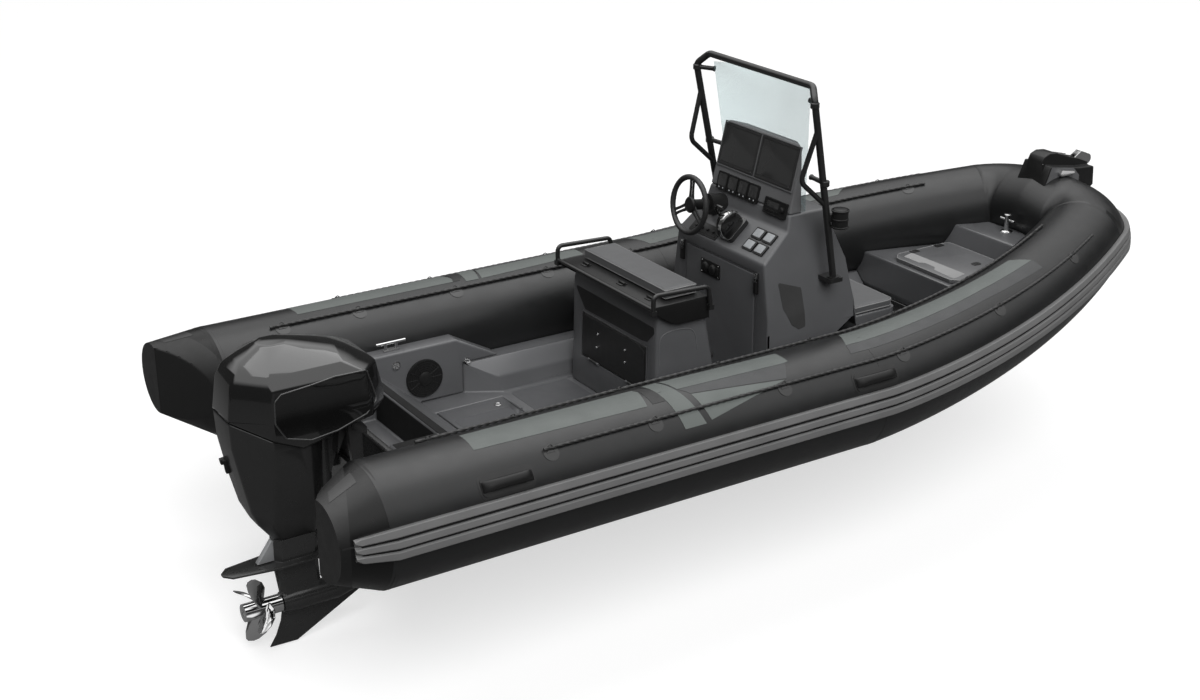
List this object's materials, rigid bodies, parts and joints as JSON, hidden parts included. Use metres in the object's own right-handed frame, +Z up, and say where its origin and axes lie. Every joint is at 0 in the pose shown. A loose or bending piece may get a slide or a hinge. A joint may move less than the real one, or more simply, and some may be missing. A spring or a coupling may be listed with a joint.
{
  "type": "rigid inflatable boat",
  "caption": "Rigid inflatable boat with a V hull, a centre console, a leaning post and a tilting outboard motor.",
  "frame": {"origin": "on the centreline, amidships, at the waterline", "axes": "+X to the bow, +Y to port, +Z up"},
  "size_m": [5.936, 2.5976, 2.644],
  "materials": {
    "tube_fabric": "matte coated fabric",
    "strake_rubber": "matte",
    "rope": "braided",
    "gelcoat": "satin gelcoat",
    "hull_gelcoat": "satin gelcoat",
    "black_plastic": "satin",
    "pod_plastic": "satin",
    "screen_glass": "gloss",
    "clear_sheet": "clear",
    "black_tube": "powder coat",
    "steel": "polished",
    "cushion_vinyl": "vinyl",
    "pad_vinyl": "vinyl",
    "engine_black": "gloss",
    "engine_metal": "painted",
    "engine_block": "cast"
  },
  "bodies": {
    "hull": {"bottle_holder": "black_plastic", "bow_fairlead": "steel", "bow_housing": "black_plastic", "carry_handles_port": "strake_rubber", "carry_handles_starboard": "strake_rubber", "clamp_bracket": "engine_metal", "cockpit_sole": "gelcoat", "console_hoop": "black_tube", "console_shell": "gelcoat", "display_pod": "pod_plastic", "displays": "screen_glass", "footrest": "black_tube", "foredeck": "gelcoat", "forward_seat": "gelcoat", "forward_seat_pad": "pad_vinyl", "gauges": "black_plastic", "grab_lines_port": "rope", "grab_lines_starboard": "rope", "hull_shell": "hull_gelcoat", "mooring_bitt": "steel", "nav_lights": "black_plastic", "post_shell": "gelcoat", "rub_strake_port": "strake_rubber", "rub_strake_starboard": "strake_rubber", "seat_cushion": "cushion_vinyl", "seat_rails": "black_tube", "seat_tray": "black_plastic", "speakers": "black_plastic", "steering_column": "black_plastic", "stern_cleats": "steel", "stern_moulding": "gelcoat", "switches": "black_plastic", "throttle": "black_plastic", "towing_eyes": "steel", "tube_bow": "tube_fabric", "tube_port": "tube_fabric", "tube_starboard": "tube_fabric", "tube_tail_port": "tube_fabric", "tube_tail_starboard": "tube_fabric", "windscreen": "clear_sheet"},
    "outboard_bracket": {"swivel_bracket": "engine_metal"},
    "outboard": {"engine_cowl": "engine_black", "powerhead": "engine_block", "midsection": "engine_black", "gearcase": "engine_metal"},
    "propeller": {"propeller": "steel"},
    "helm_wheel": {"steering_wheel": "black_plastic"},
    "bow_locker_lid": {"bow_locker_lid": "gelcoat"},
    "deck_hatch": {"deck_hatch": "gelcoat"},
    "console_hatch": {"console_hatch": "gelcoat"},
    "seat_locker_door": {"post_door": "black_plastic"},
    "bow_roller": {"bow_roller": "steel"}
  },
  "joints": [
    {"name": "outboard_tilt", "type": "hinge", "parent": "hull", "child": "outboard_bracket", "pos_m": [-2.29, 0, 0.4], "axis": [0, 1, 0], "range_deg": [0, 60]},
    {"name": "outboard_steer", "type": "hinge", "parent": "outboard_bracket", "child": "outboard", "pos_m": [-2.405, 0, 0.3], "axis": [0, 0, 1], "range_deg": [-30, 30]},
    {"name": "propeller_spin", "type": "hinge", "parent": "outboard", "child": "propeller", "pos_m": [-2.786, 0, -0.555], "axis": [1, 0, 0], "continuous": true},
    {"name": "helm_spin", "type": "hinge", "parent": "hull", "child": "helm_wheel", "pos_m": [-0.012, 0.225, 1.046], "axis": [-0.9903, 0, 0.1392], "range_deg": [-721, 721]},
    {"name": "bow_locker_lid_hinge", "type": "hinge", "parent": "hull", "child": "bow_locker_lid", "pos_m": [1.83, 0.295, 0.406], "axis": [-1, 0, 0], "range_deg": [0, 85]},
    {"name": "deck_hatch_hinge", "type": "hinge", "parent": "hull", "child": "deck_hatch", "pos_m": [-1.1375, 0, 0.074], "axis": [0, 1, 0], "range_deg": [0, 95]},
    {"name": "console_hatch_hinge", "type": "hinge", "parent": "hull", "child": "console_hatch", "pos_m": [0.0463, 0, 0.1225], "axis": [0, -1, 0], "range_deg": [0, 30]},
    {"name": "seat_locker_door_hinge", "type": "hinge", "parent": "hull", "child": "seat_locker_door", "pos_m": [-0.672, 0, 0.2525], "axis": [0, -1, 0], "range_deg": [0, 90]},
    {"name": "bow_roller_spin", "type": "hinge", "parent": "hull", "child": "bow_roller", "pos_m": [2.925, 0, 0.917], "axis": [0, 1, 0], "continuous": true}
  ],
  "couplings": [
    {"joint": "helm_spin", "follows": "outboard_steer", "ratio": 24}
  ]
}
